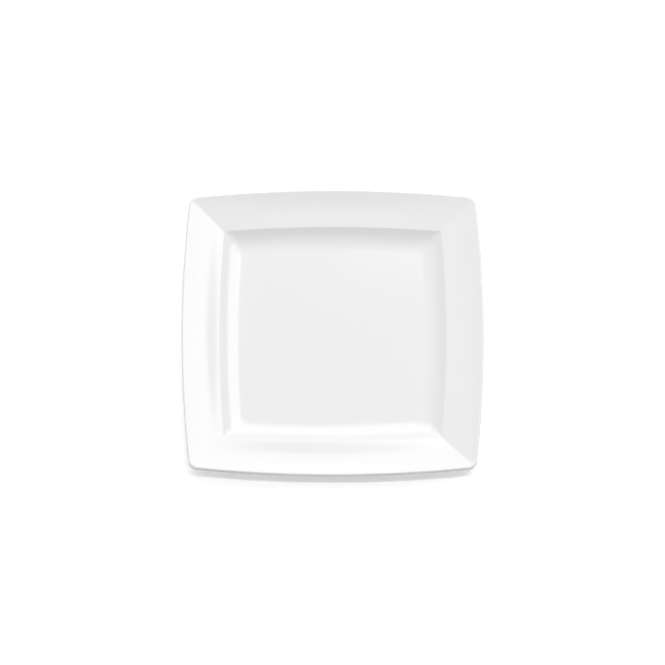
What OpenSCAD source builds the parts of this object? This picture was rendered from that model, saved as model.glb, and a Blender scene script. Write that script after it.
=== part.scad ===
// Square dinner plate of white glazed ceramic, with bowed sides, a wide rim and a sunken well.
// It stands on the bare foot ring under its well. Millimetres, Z up, origin at the middle of the foot.

/* [Outline] */
// Width across the middles of two opposite sides
plate_w = 265; // [240:1:320]
// How far the middle of a side stands out beyond its corners
side_bow = 6.9; // [4:0.1:12]
// Radius of the outer corners
corner_r = 8; // [5:0.5:14]
// Radius in plan of the hips, the folds where two sides of the rim meet
hip_r = 1.2; // [0.8:0.1:3]
// Radius in plan of the corners under the rim and under the well's side
under_corner_r = 9; // [5:0.5:12]

/* [Rim] */
// Width of the rim, from the lip to the crease
rim_w = 32.6; // [26:0.2:40]
// Slope of the rim at the crease, in degrees from level
rim_tilt = 7.5; // [5:0.5:9]
// Slope of the rim at the lip, in degrees from level
lip_tilt = 12; // [10:0.5:15]
// Thickness of the rim, and of the lip around it
rim_t = 4.4; // [3.6:0.1:5.5]
// Straight strip of the rim's section at the crease and at the lip, between which it curves up
rim_flat = 6; // [5.5:0.5:9]
// How far each side of the rim sags halfway along, between the crease and the lip
rim_sag = 0.9; // [0:0.1:1.2]
// Upright strip left between the two roundings of the lip
lip_flat = 2; // [0.2:0.1:2.4]
// Rounding of the crease, where the rim breaks down into the well
crease_r = 1.5; // [0.8:0.1:4]

/* [Well] */
// Depth of the well, from the crease to the eating floor
well_depth = 6.2; // [5.4:0.1:8]
// Slope of the well's side, in degrees from level
well_slope = 29; // [26:1:32]
// Radius between the floor and the well's side
well_r = 32; // [20:1:36]
// Radius of the floor's corners
well_corner_r = 7; // [3:0.5:10]
// Thickness of the floor
floor_t = 5.4; // [4.5:0.1:7]
// Thickness of the well's side
side_t = 4.8; // [4.2:0.1:5.4]

/* [Foot] */
// Height of the foot ring, from the table to the underside of the floor
foot_h = 3.6; // [3:0.1:4]
// Width of the foot ring where it stands on the table
foot_w = 4.5; // [3:0.1:7]
// Lean of the foot ring's two faces, in degrees from upright
foot_draft = 12; // [5:1:20]
// Flat strip between the foot ring and the curve under the well's side
foot_gap = 2; // [1.5:0.1:6]
// Radius of the foot ring's outer corners
foot_corner_r = 16; // [12:0.5:24]
// Radius at the root of the foot ring
foot_root_r = 1.2; // [0.6:0.1:1.4]
// Rounding of the foot ring's bottom edges
foot_edge_r = 0.5; // [0.2:0.1:0.6]

/* [Glaze] */
// Thickness of the fired glaze
glaze_t = 0.25; // [0.15:0.05:0.4]
// Height of the bare clay at the bottom of the foot ring
bare_h = 0.9; // [0.8:0.1:1.2]

/* [Hidden] */

// Steps along each bowed side, around each corner and at the least along each rounding of the section
side_steps = 8;
corner_steps = 3;
arc_steps = 3;
arc_angle = 20;

// The section runs outward (u) from the plate's centre and up (z) from the table.
// Each side bows about a far pivot, which every level of the plate shares.
edge_u = plate_w / 2 - glaze_t;
side_half = plate_w / 2 - side_bow;
pivot = (side_half * side_half + side_bow * side_bow) / (2 * side_bow) - plate_w / 2;

// Heights of the clay
floor_z = foot_h + floor_t;
crease_z = floor_z + well_depth;
rim_mid_z = crease_z + rim_w / 2 * tan(rim_tilt);
lip_z = rim_mid_z + rim_w / 2 * tan(lip_tilt);

// Rim, curving up from the crease to the lip
rim_mid_u = edge_u - rim_w / 2;
rim_turn = lip_tilt - rim_tilt;
rim_lean = (lip_tilt + rim_tilt) / 2;
rim_mitre = rim_t / cos(rim_turn / 2);
rim_r = (rim_w / 2 - rim_flat) / tan(rim_turn / 2);
lip_r = (rim_t - lip_flat) / 2;
lip_drop = rim_t / cos(lip_tilt);
under_mid_u = rim_mid_u + rim_mitre * sin(rim_lean);
under_mid_z = rim_mid_z - rim_mitre * cos(rim_lean);

// Well, with its side and floor as thick as set
crease_u = edge_u - rim_w;
floor_u = crease_u - well_depth / tan(well_slope);
crease_turn = well_slope - rim_tilt;
under_crease_u = crease_u + (side_t * cos(rim_tilt) - rim_t * cos(well_slope)) / sin(crease_turn);
under_crease_z = crease_z + (side_t * sin(rim_tilt) - rim_t * sin(well_slope)) / sin(crease_turn);
under_floor_u = floor_u + (side_t - floor_t * cos(well_slope)) / sin(well_slope);
under_r = well_r + side_t;

// Foot ring
foot_lean = foot_h * tan(foot_draft);
bare_lean = bare_h * tan(foot_draft);
root_out_u = under_floor_u - under_r * tan(well_slope / 2) - foot_gap;
root_in_u = root_out_u - foot_w - 2 * foot_lean;
foot_out_u = root_out_u - foot_lean;
foot_in_u = root_in_u + foot_lean;
foot_inner_r = foot_corner_r - foot_w;
recess_u = root_in_u - foot_gap;

// Section as corners [u, z, rounding, corner radius in plan], with the clay on the right of the way it runs
face_path = [
  [floor_u - well_r, floor_z, 0, well_corner_r],
  [floor_u, floor_z, well_r, well_corner_r],
  [crease_u, crease_z, crease_r, hip_r],
  [rim_mid_u, rim_mid_z, rim_r, hip_r],
  [edge_u, lip_z, lip_r, corner_r],
  [edge_u, lip_z - lip_drop, lip_r, corner_r],
  [under_mid_u, under_mid_z, rim_r + rim_t, under_corner_r],
  [under_crease_u, under_crease_z, crease_r + rim_t, under_corner_r],
  [under_floor_u, foot_h, under_r, under_corner_r],
  [root_out_u, foot_h, foot_root_r, foot_corner_r],
  [foot_out_u + bare_lean, bare_h, 0, foot_corner_r]
];
bare_path = [
  [foot_out_u, 0, foot_edge_r, foot_corner_r],
  [foot_in_u, 0, foot_edge_r, foot_inner_r]
];
recess_path = [
  [foot_in_u - bare_lean, bare_h, 0, foot_inner_r],
  [root_in_u, foot_h, foot_root_r, foot_inner_r],
  [recess_u, foot_h, 0, foot_inner_r]
];

function flat(p) = [p[0], p[1]];
function way(a, b) = (flat(b) - flat(a)) / norm(flat(b) - flat(a));
function left(d) = [-d[1], d[0]];
function turn(d, e) = atan2(cross(d, e), d * e);
function turned(v, a) = [v[0] * cos(a) - v[1] * sin(a), v[0] * sin(a) + v[1] * cos(a)];
function way_in(path, i) = way(path[max(i, 1) - 1], path[max(i, 1)]);
function way_out(path, i) = way_in(path, min(i + 1, len(path) - 1));

// A path moved out from the clay by t, with its roundings
function moved(path, t) = [
  for (i = [0 : len(path) - 1])
    let (
      p = path[i],
      n = left(way_in(path, i)),
      m = left(way_out(path, i)),
      q = flat(p) + t * (n + m) / (1 + n * m)
    )
    [q[0], q[1], max(0, p[2] - t * sign(turn(n, m))), p[3]]
];

// A path's points [u, z, corner radius], with each rounding as an arc
function arc(p, d, e) =
  let (
    a = turn(d, e),
    start = flat(p) - p[2] * tan(abs(a) / 2) * d,
    centre = start + p[2] * sign(a) * left(d),
    steps = max(arc_steps, ceil(abs(a) / arc_angle))
  )
  [for (k = [0 : steps]) centre + turned(start - centre, a * k / steps)];
function rounded(path) = [
  for (i = [0 : len(path) - 1])
    let (p = path[i])
    each p[2] > 0
      ? [for (q = arc(p, way_in(path, i), way_out(path, i))) [q[0], q[1], p[3]]]
      : [[p[0], p[1], p[3]]]
];

// Sag of the rim halfway along a side, at u from the centre: none at the crease and none at the lip
function sag(u) =
  let (share = (u - under_crease_u) / (edge_u - under_crease_u))
  rim_sag * sin(180 * min(1, max(0, share)));

// One level of the plate: four bowed sides, joined by round corners
function level(s) =
  let (
    far = s[0] + pivot,
    axis = far - s[2],
    corner = (sqrt(2 * axis * axis - pivot * pivot) - pivot) / 2,
    swing = asin(corner / axis),
    side = [
      for (k = [0 : side_steps - 1])
        let (
          share = 2 * k / side_steps - 1,
          a = swing * share
        )
        [far * cos(a) - pivot, far * sin(a), s[1] - sag(s[0]) * (1 - share * share)]
    ],
    bend = [
      for (k = [0 : corner_steps - 1])
        let (a = swing + (90 - 2 * swing) * k / corner_steps)
        [corner + s[2] * cos(a), corner + s[2] * sin(a), s[1]]
    ]
  )
  [
    for (quarter = [0 : 90 : 270], p = concat(side, bend))
      let (q = turned(p, quarter))
      [q[0], q[1], p[2]]
  ];

// Skins a solid over the levels of a section, closed at its two ends
module skinned(section) {
  around = 4 * (side_steps + corner_steps);
  last = len(section) - 1;
  points = [for (s = section) each level(s)];
  walls = [
    for (i = [0 : last - 1], k = [0 : around - 1])
      let (
        a = i * around + k,
        b = i * around + (k + 1) % around
      )
      each [[a, b, b + around], [a, b + around, a + around]]
  ];
  first_end = [for (k = [around - 1 : -1 : 0]) k];
  last_end = [for (k = [0 : around - 1]) last * around + k];
  polyhedron(points, concat([first_end], walls, [last_end]));
}

function reversed(list) = [for (i = [len(list) - 1 : -1 : 0]) list[i]];

module clay_body() {
  color("ivory")
    skinned(rounded(concat(face_path, bare_path, recess_path)));
}

module glaze_coat() {
  color("white")
    skinned(concat(rounded(moved(face_path, glaze_t)), reversed(rounded(face_path))));
}

module recess_glaze() {
  color("white")
    skinned(concat(reversed(rounded(recess_path)), rounded(moved(recess_path, glaze_t))));
}

clay_body();
glaze_coat();
recess_glaze();
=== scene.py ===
import cmath
import math

import bpy
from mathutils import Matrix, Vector


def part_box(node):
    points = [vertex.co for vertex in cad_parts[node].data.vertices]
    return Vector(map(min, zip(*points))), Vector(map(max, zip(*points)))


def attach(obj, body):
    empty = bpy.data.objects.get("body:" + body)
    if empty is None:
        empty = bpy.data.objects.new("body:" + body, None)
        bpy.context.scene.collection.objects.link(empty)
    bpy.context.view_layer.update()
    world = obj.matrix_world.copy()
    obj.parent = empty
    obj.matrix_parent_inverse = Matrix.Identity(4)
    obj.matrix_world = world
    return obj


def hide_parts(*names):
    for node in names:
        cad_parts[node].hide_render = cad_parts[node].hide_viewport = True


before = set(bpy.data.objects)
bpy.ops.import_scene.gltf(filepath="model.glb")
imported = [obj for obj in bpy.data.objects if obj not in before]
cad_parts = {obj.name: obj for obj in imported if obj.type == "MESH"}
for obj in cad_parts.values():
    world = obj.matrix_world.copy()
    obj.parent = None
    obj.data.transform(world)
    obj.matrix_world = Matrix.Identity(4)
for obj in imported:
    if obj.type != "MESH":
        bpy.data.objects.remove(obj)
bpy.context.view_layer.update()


# Clay body: pale stoneware, pressed in one piece with its rim, lip, well and foot ring, then fired hard.
# The glaze hides nearly all of it. It shows only as the bare bottom of the foot ring, which is wiped clean
# before the firing so that the plate doesn't stick to the kiln shelf.
mm = 0.001
glaze_low, glaze_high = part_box("glaze_coat")
clay_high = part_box("clay_body")[1]
plate_w = glaze_high.x - glaze_low.x
edge_u = clay_high.x
glaze_t = plate_w / 2 - edge_u
side_bow = 6.9 * mm
corner_r = 8 * mm
hip_r = 1.2 * mm
under_corner_r = 9 * mm
rim_w = 32.6 * mm
rim_tilt = math.radians(7.5)
lip_tilt = math.radians(12)
rim_t = 4.4 * mm
rim_flat = 6 * mm
rim_sag = 0.9 * mm
lip_flat = 2 * mm
crease_r = 1.5 * mm
well_depth = 6.2 * mm
well_slope = math.radians(29)
well_r = 32 * mm
well_corner_r = 7 * mm
floor_t = 5.4 * mm
side_t = 4.8 * mm
foot_h = 3.6 * mm
foot_w = 4.5 * mm
foot_draft = math.radians(12)
foot_gap = 2 * mm
foot_corner_r = 16 * mm
foot_root_r = 1.2 * mm
foot_edge_r = 0.5 * mm
bare_h = 0.9 * mm

# The section runs outward from the plate's centre (u) and up from the table (z).
floor_z = foot_h + floor_t
crease_z = floor_z + well_depth
rim_mid_z = crease_z + rim_w / 2 * math.tan(rim_tilt)
lip_z = rim_mid_z + rim_w / 2 * math.tan(lip_tilt)
rim_mid_u = edge_u - rim_w / 2
rim_turn = lip_tilt - rim_tilt
rim_lean = (lip_tilt + rim_tilt) / 2
rim_mitre = rim_t / math.cos(rim_turn / 2)
rim_r = (rim_w / 2 - rim_flat) / math.tan(rim_turn / 2)
lip_r = (rim_t - lip_flat) / 2
lip_drop = rim_t / math.cos(lip_tilt)
under_mid_u = rim_mid_u + rim_mitre * math.sin(rim_lean)
under_mid_z = rim_mid_z - rim_mitre * math.cos(rim_lean)
crease_u = edge_u - rim_w
crease_turn = well_slope - rim_tilt
floor_u = crease_u - well_depth / math.tan(well_slope)
crease_shift_u = (side_t * math.cos(rim_tilt) - rim_t * math.cos(well_slope)) / math.sin(crease_turn)
crease_shift_z = (side_t * math.sin(rim_tilt) - rim_t * math.sin(well_slope)) / math.sin(crease_turn)
under_crease_u = crease_u + crease_shift_u
under_crease_z = crease_z + crease_shift_z
under_floor_u = floor_u + (side_t - floor_t * math.cos(well_slope)) / math.sin(well_slope)
under_r = well_r + side_t
foot_lean = foot_h * math.tan(foot_draft)
bare_lean = bare_h * math.tan(foot_draft)
root_out_u = under_floor_u - under_r * math.tan(well_slope / 2) - foot_gap
root_in_u = root_out_u - foot_w - 2 * foot_lean
foot_out_u = root_out_u - foot_lean
foot_in_u = root_in_u + foot_lean
foot_inner_r = foot_corner_r - foot_w
recess_u = root_in_u - foot_gap

# Corners of the section, each (u and z, rounding, corner radius in plan).
# The clay lies on the right of the way they run.
face_corners = [
    (complex(floor_u - well_r, floor_z), 0, well_corner_r),
    (complex(floor_u, floor_z), well_r, well_corner_r),
    (complex(crease_u, crease_z), crease_r, hip_r),
    (complex(rim_mid_u, rim_mid_z), rim_r, hip_r),
    (complex(edge_u, lip_z), lip_r, corner_r),
    (complex(edge_u, lip_z - lip_drop), lip_r, corner_r),
    (complex(under_mid_u, under_mid_z), rim_r + rim_t, under_corner_r),
    (complex(under_crease_u, under_crease_z), crease_r + rim_t, under_corner_r),
    (complex(under_floor_u, foot_h), under_r, under_corner_r),
    (complex(root_out_u, foot_h), foot_root_r, foot_corner_r),
    (complex(foot_out_u + bare_lean, bare_h), 0, foot_corner_r),
]
bare_corners = [
    (complex(foot_out_u, 0), foot_edge_r, foot_corner_r),
    (complex(foot_in_u, 0), foot_edge_r, foot_inner_r),
]
recess_corners = [
    (complex(foot_in_u - bare_lean, bare_h), 0, foot_inner_r),
    (complex(root_in_u, foot_h), foot_root_r, foot_inner_r),
    (complex(recess_u, foot_h), 0, foot_inner_r),
]


def ways(corners, i):
    """The directions in which a section runs into and out of its corner i."""
    points = [c[0] for c in corners]
    legs = [(b - a) / abs(b - a) for a, b in zip(points, points[1:])]
    return legs[max(i - 1, 0)], legs[min(i, len(legs) - 1)]


def laid_on(corners, thickness):
    """The corners of a coat's outer face, laid on a section at an even thickness."""
    moved = []
    for i, (point, rounding, plan_r) in enumerate(corners):
        into, out = ways(corners, i)
        turn = cmath.phase(out / into)
        step = thickness * 1j * (into + out) / (1 + (into * out.conjugate()).real)
        tighter = math.copysign(thickness, turn) if turn else 0
        moved.append((point + step, max(0, rounding - tighter), plan_r))
    return moved


# Each rounding is cut into steps no larger than this angle and length, and into least_arc_steps at the least.
# A flat gets a row of points close to each of its ends, which keeps it flat under smooth shading.
# Glaze gathers or thins most at a rounding of full_pool_r or less.
arc_angle = math.radians(4)
arc_length = 2 * mm
least_arc_steps = 4
support = 0.4 * mm
shortest_flat = 2.5 * support
full_pool_r = 9 * mm
no_pool = 1e-9


def rounded(corners):
    """A section's points, each (u, z, corner radius in plan, pool).

    Pool says where the glaze gathers: it is 1 in a tight hollow and -1 on a tight edge.
    """
    rows = []
    for i, (point, rounding, plan_r) in enumerate(corners):
        into, out = ways(corners, i)
        turn = cmath.phase(out / into)
        if rounding == 0:
            rows.append((point, plan_r, 0))
            continue
        start = point - into * rounding * math.tan(abs(turn) / 2)
        centre = start + 1j * into * math.copysign(rounding, turn)
        steps = max(
            least_arc_steps,
            math.ceil(abs(turn) / arc_angle),
            math.ceil(abs(turn) * rounding / arc_length),
        )
        for k in range(steps + 1):
            pool = math.copysign(math.sin(math.pi * k / steps), turn) * min(1, full_pool_r / rounding)
            rows.append((centre + (start - centre) * cmath.exp(1j * turn * k / steps), plan_r, pool))
    full = rows[:1]
    for (a, a_plan, a_pool), (b, b_plan, b_pool) in zip(rows, rows[1:]):
        run = abs(b - a)
        if run > shortest_flat and max(abs(a_pool), abs(b_pool)) < no_pool:
            for share in (support / run, 1 - support / run):
                full.append((a + (b - a) * share, a_plan + (b_plan - a_plan) * share, 0))
        full.append((b, b_plan, b_pool))
    return [(p.real, p.imag, plan, pool) for p, plan, pool in full]


def from_middle(row):
    """The point on the plate's axis where a level face starts or ends."""
    return (0, row[1], 0, 0)


def node(tree, kind, inputs=(), **settings):
    """Adds a node with its settings and inputs, links those that are sockets, and gives its first output."""
    made = tree.nodes.new(kind)
    for name, value in settings.items():
        setattr(made, name, value)
    for key, value in dict(inputs).items():
        if isinstance(value, bpy.types.NodeSocket):
            tree.links.new(value, made.inputs[key])
        else:
            made.inputs[key].default_value = value
    return next((s for s in made.outputs if s.enabled), None)


def maths(tree, operation, *values):
    """One sum on values that vary over the surface."""
    return node(tree, "ShaderNodeMath", enumerate(values), operation=operation)


sweep = bpy.data.node_groups.new("section_round_the_plate", "GeometryNodeTree")
sweep.is_modifier = True
sweep.interface.new_socket(name="Geometry", in_out="OUTPUT", socket_type="NodeSocketGeometry")
sweep_inputs = {}
for name, kind in (
    ("Section", "NodeSocketGeometry"),
    ("Pivot", "NodeSocketFloat"),
    ("Side Steps", "NodeSocketInt"),
    ("Corner Steps", "NodeSocketInt"),
    ("Finish", "NodeSocketMaterial"),
):
    socket = sweep.interface.new_socket(name=name, in_out="INPUT", socket_type=kind)
    sweep_inputs[name] = socket.identifier

# The skin has a row for each point of the section and a column for each step round the plate. Its four
# quarters are alike, and one column more closes it. The half added before a FLOOR keeps whole numbers whole.
given = sweep.nodes.new("NodeGroupInput").outputs
section_rows = node(
    sweep,
    "GeometryNodeAttributeDomainSize",
    {"Geometry": given["Section"]},
    component="MESH",
)
quarter_steps = maths(sweep, "ADD", given["Side Steps"], given["Corner Steps"])
around = maths(sweep, "MULTIPLY_ADD", quarter_steps, 4, 1)
skin = node(
    sweep,
    "GeometryNodeMeshGrid",
    {"Size X": 1, "Size Y": 1, "Vertices X": section_rows, "Vertices Y": around},
)
index = node(sweep, "GeometryNodeInputIndex")
half_on = maths(sweep, "ADD", index, 0.5)
row = maths(sweep, "FLOOR", maths(sweep, "DIVIDE", half_on, around))
column = maths(sweep, "SUBTRACT", index, maths(sweep, "MULTIPLY", row, around))
quarter = maths(sweep, "FLOOR", maths(sweep, "DIVIDE", maths(sweep, "ADD", column, 0.5), quarter_steps))
step = maths(sweep, "SUBTRACT", column, maths(sweep, "MULTIPLY", quarter, quarter_steps))


def of_section(value, data_type):
    """A value of the section's point that this row of the skin follows."""
    return node(
        sweep,
        "GeometryNodeSampleIndex",
        {"Geometry": given["Section"], "Value": value, "Index": row},
        data_type=data_type,
        domain="POINT",
    )


def section_value(name):
    """A named number of the section's point that this row of the skin follows."""
    value = node(sweep, "GeometryNodeInputNamedAttribute", {"Name": name}, data_type="FLOAT")
    return of_section(value, "FLOAT")


place = node(
    sweep,
    "ShaderNodeSeparateXYZ",
    {"Vector": of_section(node(sweep, "GeometryNodeInputPosition"), "FLOAT_VECTOR")},
).node.outputs
plan_r = section_value("plan_radius")

# A level of the plate: each side bows about the far pivot and sags most halfway along.
# The sides are joined by round corners.
far = maths(sweep, "ADD", place["X"], given["Pivot"])
axis = maths(sweep, "SUBTRACT", far, plan_r)
axis_squared = maths(sweep, "MULTIPLY", axis, axis)
pivot_squared = maths(sweep, "MULTIPLY", given["Pivot"], given["Pivot"])
reach_squared = maths(sweep, "SUBTRACT", maths(sweep, "MULTIPLY", axis_squared, 2), pivot_squared)
past_pivot = maths(sweep, "SUBTRACT", maths(sweep, "SQRT", reach_squared), given["Pivot"])
corner = maths(sweep, "MULTIPLY", past_pivot, 0.5)
swing = maths(sweep, "ARCSINE", maths(sweep, "DIVIDE", corner, axis))

# The points of a side lie closer together towards its two corners, which keeps the hips crisp.
side_share = maths(sweep, "DIVIDE", step, given["Side Steps"])
from_halfway = maths(sweep, "COSINE", maths(sweep, "MULTIPLY", side_share, math.pi))
side_angle = maths(sweep, "MULTIPLY", from_halfway, maths(sweep, "MULTIPLY", swing, -1))
sag_left = maths(sweep, "MULTIPLY_ADD", maths(sweep, "MULTIPLY", from_halfway, from_halfway), -1, 1)
side_reach = maths(sweep, "MULTIPLY", far, maths(sweep, "COSINE", side_angle))
side_point = node(sweep, "ShaderNodeCombineXYZ", {
    "X": maths(sweep, "SUBTRACT", side_reach, given["Pivot"]),
    "Y": maths(sweep, "MULTIPLY", far, maths(sweep, "SINE", side_angle)),
    "Z": maths(sweep, "SUBTRACT", place["Z"], maths(sweep, "MULTIPLY", section_value("sag"), sag_left)),
})
corner_step = maths(sweep, "SUBTRACT", step, given["Side Steps"])
corner_share = maths(sweep, "DIVIDE", corner_step, given["Corner Steps"])
corner_span = maths(sweep, "MULTIPLY_ADD", swing, -2, math.pi / 2)
corner_angle = maths(sweep, "MULTIPLY_ADD", corner_span, corner_share, swing)
corner_point = node(sweep, "ShaderNodeCombineXYZ", {
    "X": maths(sweep, "MULTIPLY_ADD", plan_r, maths(sweep, "COSINE", corner_angle), corner),
    "Y": maths(sweep, "MULTIPLY_ADD", plan_r, maths(sweep, "SINE", corner_angle), corner),
    "Z": place["Z"],
})
on_corner = maths(sweep, "GREATER_THAN", maths(sweep, "ADD", step, 0.5), given["Side Steps"])
point = node(
    sweep,
    "GeometryNodeSwitch",
    {"Switch": on_corner, "False": side_point, "True": corner_point},
    input_type="VECTOR",
)
turned = node(
    sweep,
    "ShaderNodeVectorRotate",
    {"Vector": point, "Angle": maths(sweep, "MULTIPLY", quarter, math.pi / 2)},
    rotation_type="Z_AXIS",
)
skin = node(sweep, "GeometryNodeSetPosition", {"Geometry": skin, "Position": turned})
skin = node(
    sweep,
    "GeometryNodeStoreNamedAttribute",
    {"Geometry": skin, "Name": "pool", "Value": section_value("pool")},
    data_type="FLOAT",
    domain="POINT",
)
weld = 0.001 * mm
skin = node(sweep, "GeometryNodeMergeByDistance", {"Geometry": skin, "Distance": weld})
skin = node(sweep, "GeometryNodeSetShadeSmooth", {"Geometry": skin, "Shade Smooth": True})
skin = node(sweep, "GeometryNodeRealizeInstances", {"Geometry": skin})
skin = node(sweep, "GeometryNodeSetMaterial", {"Geometry": skin, "Material": given["Finish"]})
node(sweep, "NodeGroupOutput", {"Geometry": skin})

side_half = plate_w / 2 - side_bow
pivot = (side_half**2 + side_bow**2) / (2 * side_bow) - plate_w / 2
side_steps = 24
corner_steps = 10


def sag_at(u):
    """How far the rim sags halfway along a side: nothing at the crease and nothing at the lip."""
    share = (u - under_crease_u) / (edge_u - under_crease_u)
    return rim_sag * math.sin(math.pi * min(1, max(0, share)))


def swept(name, section, finish):
    """Sweeps a closed section round the plate, and gives the piece as a plain mesh."""
    thread = bpy.data.meshes.new(name + "_section")
    points = [(u, 0, z) for u, z, plan, pool in section]
    runs = [(i, i + 1) for i in range(len(section) - 1)]
    thread.from_pydata(points, runs, [])
    for label, numbers in (
        ("plan_radius", [plan for u, z, plan, pool in section]),
        ("pool", [pool for u, z, plan, pool in section]),
        ("sag", [sag_at(u) for u, z, plan, pool in section]),
    ):
        thread.attributes.new(label, "FLOAT", "POINT").data.foreach_set("value", numbers)
    guide = bpy.data.objects.new(name + "_guide", thread)
    bpy.context.scene.collection.objects.link(guide)
    modifier = guide.modifiers.new("sweep", "NODES")
    modifier.node_group = sweep
    modifier[sweep_inputs["Pivot"]] = pivot
    modifier[sweep_inputs["Side Steps"]] = side_steps
    modifier[sweep_inputs["Corner Steps"]] = corner_steps
    modifier[sweep_inputs["Finish"]] = finish
    shown = guide.evaluated_get(bpy.context.evaluated_depsgraph_get())
    mesh = bpy.data.meshes.new_from_object(shown)
    mesh.name = name
    guide.modifiers.remove(modifier)
    bpy.data.objects.remove(guide)
    bpy.data.meshes.remove(thread)
    piece = bpy.data.objects.new(name, mesh)
    bpy.context.scene.collection.objects.link(piece)
    return piece


# Firing leaves a soft mottle in the tone and a fine unevenness in the surface of clay and glaze alike.
mottle = bpy.data.node_groups.new("kiln_mottle", "ShaderNodeTree")
for name, kind in (
    ("Vector", "NodeSocketVector"),
    ("Patch Scale", "NodeSocketFloat"),
    ("Ripple Scale", "NodeSocketFloat"),
):
    mottle.interface.new_socket(name=name, in_out="INPUT", socket_type=kind)
for name in ("Tone", "Ripple"):
    mottle.interface.new_socket(name=name, in_out="OUTPUT", socket_type="NodeSocketFloat")
mottle_given = mottle.nodes.new("NodeGroupInput").outputs
tone = node(mottle, "ShaderNodeTexNoise", {
    "Vector": mottle_given["Vector"],
    "Scale": mottle_given["Patch Scale"],
    "Detail": 4,
    "Roughness": 0.55,
})
ripple = node(mottle, "ShaderNodeTexNoise", {
    "Vector": mottle_given["Vector"],
    "Scale": mottle_given["Ripple Scale"],
    "Detail": 2,
    "Roughness": 0.45,
})
node(mottle, "NodeGroupOutput", {"Tone": tone, "Ripple": ripple})


def kiln_marks(tree, spot, patch_scale, ripple_scale):
    """The tone and the fine ripple that the firing leaves at a spot of the surface."""
    inputs = {"Vector": spot, "Patch Scale": patch_scale, "Ripple Scale": ripple_scale}
    marks = node(tree, "ShaderNodeGroup", inputs, node_tree=mottle).node.outputs
    return marks["Tone"], marks["Ripple"]


def new_finish(name):
    """A material with only its shader and output: (material, node tree, shader's inputs)."""
    finish = bpy.data.materials.new(name)
    finish.use_nodes = True
    tree = finish.node_tree
    shader = next(n for n in tree.nodes if n.type == "BSDF_PRINCIPLED")
    return finish, tree, shader.inputs


def between(tree, share, low, high):
    """A number that goes from low to high with a share that varies over the surface."""
    return node(tree, "ShaderNodeMapRange", {"Value": share, "To Min": low, "To Max": high})


def tint(tree, share, low, high):
    """A colour that goes from low to high, which may vary too, with a share that varies over the surface."""
    ends = [c if isinstance(c, bpy.types.NodeSocket) else (*c, 1) for c in (low, high)]
    return node(tree, "ShaderNodeMix", {"Factor": share, "A": ends[0], "B": ends[1]}, data_type="RGBA")


# Bare clay is matt and buff, with patches about a centimetre wide, a fine grain and sunken specks of iron.
clay_patch_scale = 90
clay_grain_scale = 2600
speck_scale = 900
speck_core = 0.12
speck_edge = 0.2
speck_pit = 0.4
dark_clay = (0.62, 0.57, 0.49)
light_clay = (0.80, 0.76, 0.69)
iron_speck = (0.45, 0.38, 0.30)
least_clay_roughness = 0.75
most_clay_roughness = 0.95
clay_grain_strength = 0.6
clay_grain_height = 0.06 * mm
clay_finish, tree, shader = new_finish("fired_clay")
spot = node(tree, "ShaderNodeTexCoord").node.outputs["Object"]
clay_tone, clay_grain = kiln_marks(tree, spot, clay_patch_scale, clay_grain_scale)
grit = node(tree, "ShaderNodeTexVoronoi", {"Vector": spot, "Scale": speck_scale}, feature="F1")
speck = node(tree, "ShaderNodeMapRange", {
    "Value": grit,
    "From Min": speck_core,
    "From Max": speck_edge,
    "To Min": 1,
    "To Max": 0,
})
clay_colour = tint(tree, clay_tone, dark_clay, light_clay)
clay_colour = tint(tree, speck, clay_colour, iron_speck)
tree.links.new(clay_colour, shader["Base Color"])
clay_roughness = between(tree, clay_tone, least_clay_roughness, most_clay_roughness)
tree.links.new(clay_roughness, shader["Roughness"])
rough_face = maths(tree, "SUBTRACT", clay_grain, maths(tree, "MULTIPLY", speck, speck_pit))
bump = node(tree, "ShaderNodeBump", {
    "Height": rough_face,
    "Strength": clay_grain_strength,
    "Distance": clay_grain_height,
})
tree.links.new(bump, shader["Normal"])

clay_section = rounded(face_corners + bare_corners + recess_corners)
clay_section = [from_middle(clay_section[0]), *clay_section, from_middle(clay_section[-1])]
body = swept("pressed_clay_body", clay_section, clay_finish)
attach(body, "root")
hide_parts("clay_body")


# Glaze coat: an opaque white glaze, poured over the eating face, the lip and the outside, and fired to a
# hard gloss. It lies a quarter of a millimetre thick, gathers a little in the hollow round the well and thins
# on the crease and the lip. It stops just above the table, on the outer side of the foot ring.
glaze_patch_scale = 14
glaze_ripple_scale = 110
thin_glaze = (0.862, 0.858, 0.848)
thick_glaze = (0.845, 0.850, 0.852)
least_glaze_roughness = 0.07
most_glaze_roughness = 0.15
glaze_ripple_strength = 0.15
glaze_ripple_height = 0.02 * mm
glaze_ior = 1.52
glaze_finish, tree, shader = new_finish("white_glaze")
spot = node(tree, "ShaderNodeTexCoord").node.outputs["Object"]
glaze_tone, glaze_ripple = kiln_marks(tree, spot, glaze_patch_scale, glaze_ripple_scale)
pool = node(tree, "ShaderNodeAttribute", attribute_name="pool").node.outputs["Fac"]
gathered = node(tree, "ShaderNodeMapRange", {"Value": pool, "From Min": -1, "From Max": 1})
# The mottle and the gathering of the glaze have half of its tint each.
half_gathered = maths(tree, "MULTIPLY", gathered, 0.5)
thick_share = maths(tree, "MULTIPLY_ADD", glaze_tone, 0.5, half_gathered)
glaze_colour = tint(tree, thick_share, thin_glaze, thick_glaze)
tree.links.new(glaze_colour, shader["Base Color"])
glaze_roughness = between(tree, glaze_tone, least_glaze_roughness, most_glaze_roughness)
tree.links.new(glaze_roughness, shader["Roughness"])
bump = node(tree, "ShaderNodeBump", {
    "Height": glaze_ripple,
    "Strength": glaze_ripple_strength,
    "Distance": glaze_ripple_height,
})
tree.links.new(bump, shader["Normal"])
shader["IOR"].default_value = glaze_ior

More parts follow.
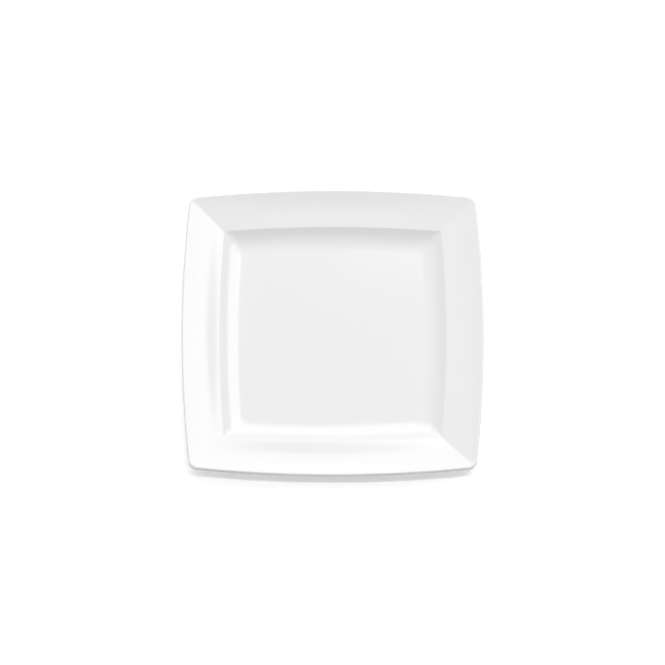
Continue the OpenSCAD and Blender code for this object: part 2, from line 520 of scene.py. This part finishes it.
face_rows = rounded(laid_on(face_corners, glaze_t))
clay_rows = rounded(face_corners)[::-1]
coat = swept(
    "white_glaze_coat",
    [from_middle(face_rows[0]), *face_rows, *clay_rows, from_middle(clay_rows[-1])],
    glaze_finish,
)
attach(coat, "root")
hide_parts("glaze_coat")


# Recess glaze: the same white glaze inside the foot ring, where it forms an island of its own.
# It is fired on with the outer coat, and the wiped foot keeps the two apart.
recess_clay_rows = rounded(recess_corners)[::-1]
recess_rows = rounded(laid_on(recess_corners, glaze_t))
recess = swept(
    "white_glaze_in_recess",
    [from_middle(recess_clay_rows[0]), *recess_clay_rows, *recess_rows, from_middle(recess_rows[-1])],
    glaze_finish,
)
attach(recess, "root")
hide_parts("recess_glaze")


# Studio floor: a wide pale sheet on which the plate stands, under a white surround.
# It looks white to the camera and in reflections, and keeps the plate's shadow.
floor_half = 2.4
floor_tone = 0.9
floor_roughness = 0.9
floor_glow = 0.42
floor_mesh = bpy.data.meshes.new("studio_floor")
floor_mesh.from_pydata(
    [
        (-floor_half, -floor_half, 0),
        (floor_half, -floor_half, 0),
        (floor_half, floor_half, 0),
        (-floor_half, floor_half, 0),
    ],
    [],
    [(0, 1, 2, 3)],
)
floor = bpy.data.objects.new("studio_floor", floor_mesh)
bpy.context.scene.collection.objects.link(floor)
floor_finish, tree, shader = new_finish("pale_floor")
shader["Base Color"].default_value = (floor_tone, floor_tone, floor_tone, 1)
shader["Roughness"].default_value = floor_roughness
shader["Specular IOR Level"].default_value = 0
shader["Emission Color"].default_value = (1, 1, 1, 1)


def seen_rays(tree):
    """1 for rays that the camera, a reflection or a see-through surface looks along, and 0 for cast light."""
    path = node(tree, "ShaderNodeLightPath").node.outputs
    looked = maths(tree, "ADD", path["Is Camera Ray"], path["Is Glossy Ray"])
    seen = maths(tree, "ADD", looked, path["Is Transmission Ray"])
    seen.node.use_clamp = True
    return seen


tree.links.new(between(tree, seen_rays(tree), 0, floor_glow), shader["Emission Strength"])
floor_mesh.materials.append(floor_finish)


# Studio light: a white surround, a broad soft light behind the plate and a strip light over it, which casts
# the shadow under the front edge. The glaze reflects two panels, one behind the plate and one high on its
# right, and a white card hung nearer to it, which clears the grey from the right half of the front rim.
surround_cast = 0.2
surround_seen = 1
lamp_distance = 6
lamp_aim = (0, 0, 15 * mm)
surround = bpy.data.worlds.new("white_surround")
bpy.context.scene.world = surround
surround.use_nodes = True
tree = surround.node_tree
glow = tree.nodes["Background"]
glow.inputs["Color"].default_value = (1, 1, 1, 1)
tree.links.new(between(tree, seen_rays(tree), surround_cast, surround_seen), glow.inputs["Strength"])


def soft_light(name, towards, width, depth, brightness, distance=lamp_distance, aim=lamp_aim):
    """A rectangular soft light, white at brightness 1. Towards is its direction from the point it aims at."""
    lamp = bpy.data.lights.new(name, "AREA")
    lamp.shape = "RECTANGLE"
    lamp.size = width
    lamp.size_y = depth
    lamp.energy = math.pi * width * depth * brightness
    stand = bpy.data.objects.new(name, lamp)
    stand.location = Vector(aim) + Vector(towards).normalized() * distance
    stand.rotation_euler = (-Vector(towards)).to_track_quat("-Z", "Y").to_euler()
    stand.visible_camera = False
    bpy.context.scene.collection.objects.link(stand)
    return stand


back_light = soft_light("back_light", towards=(0, 0.755, 0.656), width=9, depth=4.6, brightness=0.75)
back_light.visible_glossy = False
strip_light = soft_light("strip_light", towards=(0, -0.035, 1), width=6.5, depth=0.5, brightness=14.4)
strip_light.visible_glossy = False
soft_light("back_panel", towards=(0, 0.719, 0.695), width=5, depth=3.44, brightness=1.8)
soft_light("right_panel", towards=(0.43, 0.328, 0.841), width=3, depth=3, brightness=2.6)
white_card = soft_light(
    "white_card",
    towards=(0, 0.445, 0.896),
    width=0.5,
    depth=0.3,
    brightness=2,
    distance=1.8,
    aim=(270 * mm, 0, 15 * mm),
)
white_card.visible_diffuse = False


# Camera: a long lens, looking down on the plate from its front side. It stands so far off that the far side
# of the plate looks hardly smaller than the near side. The plate lies a little below and right of the middle.
lens_mm = 740
sensor_mm = 36
frame_px = 665
px_per_mm = 1.1407
plate_low_px = 1.3
plate_right_px = 0.2
rim_height = 16 * mm
look_down = math.radians(70.9)
photo_px = mm / px_per_mm
lens = bpy.data.cameras.new("camera")
lens.sensor_width = sensor_mm
lens.lens = lens_mm
distance = frame_px * photo_px * lens_mm / sensor_mm
back = Vector((0, -math.cos(look_down), math.sin(look_down)))
up = Vector((0, math.sin(look_down), math.cos(look_down)))
right = Vector((1, 0, 0))
aim = Vector((0, 0, rim_height)) + (up * plate_low_px - right * plate_right_px) * photo_px
camera = bpy.data.objects.new("camera", lens)
camera.location = aim + back * distance
camera.rotation_euler = (-back).to_track_quat("-Z", "Y").to_euler()
lens.clip_end = 2 * distance
bpy.context.scene.collection.objects.link(camera)
bpy.context.scene.camera = camera

bpy.context.scene.view_settings.view_transform = "Standard"
